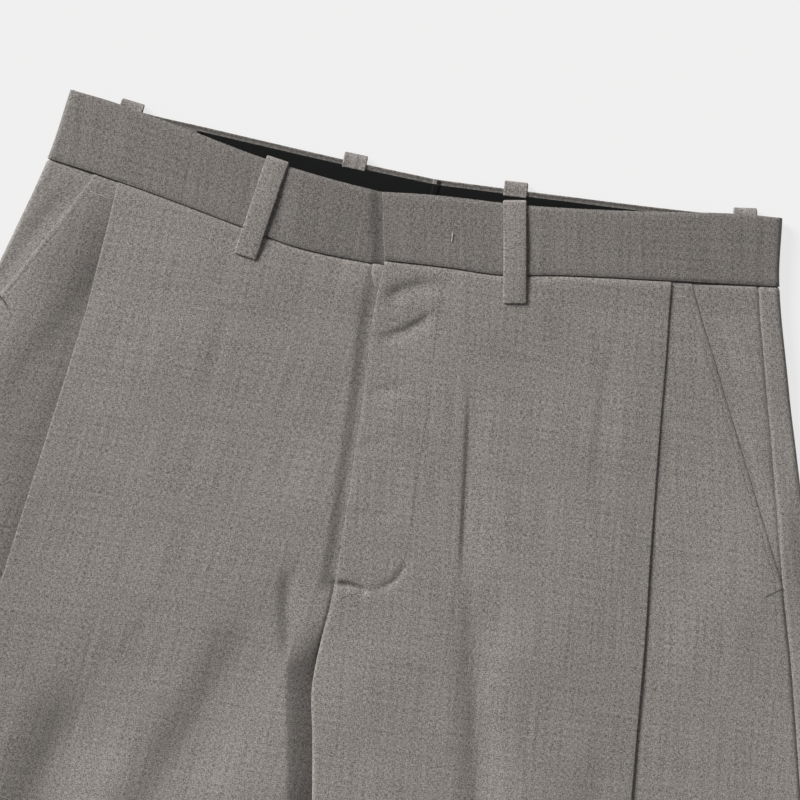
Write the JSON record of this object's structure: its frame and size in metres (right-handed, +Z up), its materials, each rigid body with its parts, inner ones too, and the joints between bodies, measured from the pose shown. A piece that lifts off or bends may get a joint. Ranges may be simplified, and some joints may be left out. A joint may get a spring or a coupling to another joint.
{
  "type": "pleated dress trousers laid flat",
  "caption": "Pleated wide-leg dress trousers laid flat, front up, with a lapped fly, slant pockets, belt loops and an open waist and hems.",
  "frame": {"origin": "centre of the bounding box, on the surface that the trousers lie on", "axes": "+Y to the waist, +X to the wearer's left, +Z up from the surface, through the front"},
  "size_m": [0.69, 1.0504, 0.0156],
  "materials": {
    "wool": "matt worsted suiting, warm grey mix",
    "facing": "matt near-black twill facing"
  },
  "bodies": {
    "root": {"front_left": "wool", "front_right": "wool", "back_left": "wool", "back_right": "wool", "pocket_facing_left": "wool", "pocket_facing_right": "wool", "fly_shield": "wool", "waistband_left": "wool", "waistband_right": "wool", "belt_loop_front_left": "wool", "belt_loop_front_right": "wool", "belt_loop_side_left": "wool", "belt_loop_side_right": "wool", "belt_loop_back_left": "wool", "belt_loop_back_right": "wool", "band_facing_left": "facing", "band_facing_right": "facing"}
  },
  "joints": []
}
